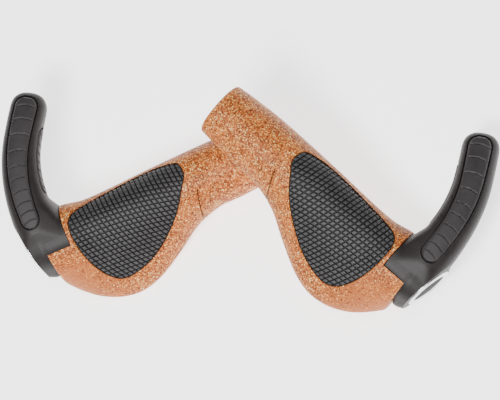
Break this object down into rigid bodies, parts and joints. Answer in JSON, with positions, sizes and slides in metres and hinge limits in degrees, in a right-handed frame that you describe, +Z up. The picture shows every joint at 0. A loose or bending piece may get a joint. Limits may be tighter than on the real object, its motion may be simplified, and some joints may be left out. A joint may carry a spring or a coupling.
{
  "type": "handlebar grip pair with bar ends",
  "caption": "Ergonomic cork handlebar grips with a palm wing, a black gridded rubber palm pad and a curved clamp-on bar end; left and right, lying loose on a table.",
  "frame": {"origin": "middle of the bounding box of the resting pair, at table height", "axes": "+Z up; +X along the longest extent, from the left grip towards the right grip; +Y towards the back of the table, where the inboard ends point. In each grip's own sense, outboard is away from the other grip's horn side."},
  "size_m": [0.2649, 0.1256, 0.0674],
  "materials": {
    "cork_compound": "satin, cork granules in an orange-brown compound",
    "pad_rubber": "matt, moulded diamond grid",
    "core_plastic": "matt",
    "bar_end_plastic": "satin black",
    "inlay_rubber": "matt, moulded grooves",
    "cap_plastic": "gloss black",
    "ring_aluminium": "bright satin",
    "insert_brass": "turned",
    "screw_steel": "zinc plated"
  },
  "bodies": {
    "left_grip": {"left_grip_sleeve": "cork_compound", "left_palm_pad": "pad_rubber", "left_grip_core": "core_plastic"},
    "left_bar_end": {"left_bar_end_body": "bar_end_plastic", "left_horn_inlay_top": "inlay_rubber", "left_horn_inlay_inner": "inlay_rubber", "left_end_cap": "cap_plastic", "left_cap_ring": "ring_aluminium", "left_clamp_insert": "insert_brass"},
    "left_washer": {"left_clamp_washer": "screw_steel"},
    "left_bolt": {"left_clamp_bolt": "screw_steel"},
    "right_grip": {"right_grip_sleeve": "cork_compound", "right_palm_pad": "pad_rubber", "right_grip_core": "core_plastic"},
    "right_bar_end": {"right_bar_end_body": "bar_end_plastic", "right_horn_inlay_top": "inlay_rubber", "right_horn_inlay_inner": "inlay_rubber", "right_end_cap": "cap_plastic", "right_cap_ring": "ring_aluminium", "right_clamp_insert": "insert_brass"},
    "right_washer": {"right_clamp_washer": "screw_steel"},
    "right_bolt": {"right_clamp_bolt": "screw_steel"}
  },
  "joints": [
    {"name": "right_lift", "type": "slide", "parent": "left_grip", "child": "right_grip", "axis": [0, 0, 1], "range_m": [0, 0.12]},
    {"name": "left_bar_end_turn", "type": "hinge", "parent": "left_grip", "child": "left_bar_end", "pos_m": [-0.10919, -0.01679, 0.02505], "axis": [0.9338, 0.3491, -0.0785], "range_deg": [0, 20]},
    {"name": "left_bolt_travel", "type": "slide", "parent": "left_bar_end", "child": "left_washer", "axis": [-0.3164, 0.908, 0.2748], "range_m": [0, 0.0014]},
    {"name": "left_bolt_turn", "type": "hinge", "parent": "left_washer", "child": "left_bolt", "pos_m": [-0.11177, -0.01321, 0.01024], "axis": [-0.3164, 0.908, 0.2748], "range_deg": [0, 720.5]},
    {"name": "right_bar_end_turn", "type": "hinge", "parent": "right_grip", "child": "right_bar_end", "pos_m": [0.08635, -0.04383, 0.02185], "axis": [0.7096, -0.6617, -0.2419], "range_deg": [0, 20]},
    {"name": "right_bolt_travel", "type": "slide", "parent": "right_bar_end", "child": "right_washer", "axis": [0.6754, 0.7367, -0.0339], "range_m": [0, 0.0014]},
    {"name": "right_bolt_turn", "type": "hinge", "parent": "right_washer", "child": "right_bolt", "pos_m": [0.08325, -0.04167, 0.00687], "axis": [0.6754, 0.7367, -0.0339], "range_deg": [0, 720.5]}
  ],
  "couplings": [
    {"joint": "left_bolt_turn", "follows": "left_bolt_travel", "rad_per_m": 8976},
    {"joint": "right_bolt_turn", "follows": "right_bolt_travel", "rad_per_m": 8976}
  ]
}
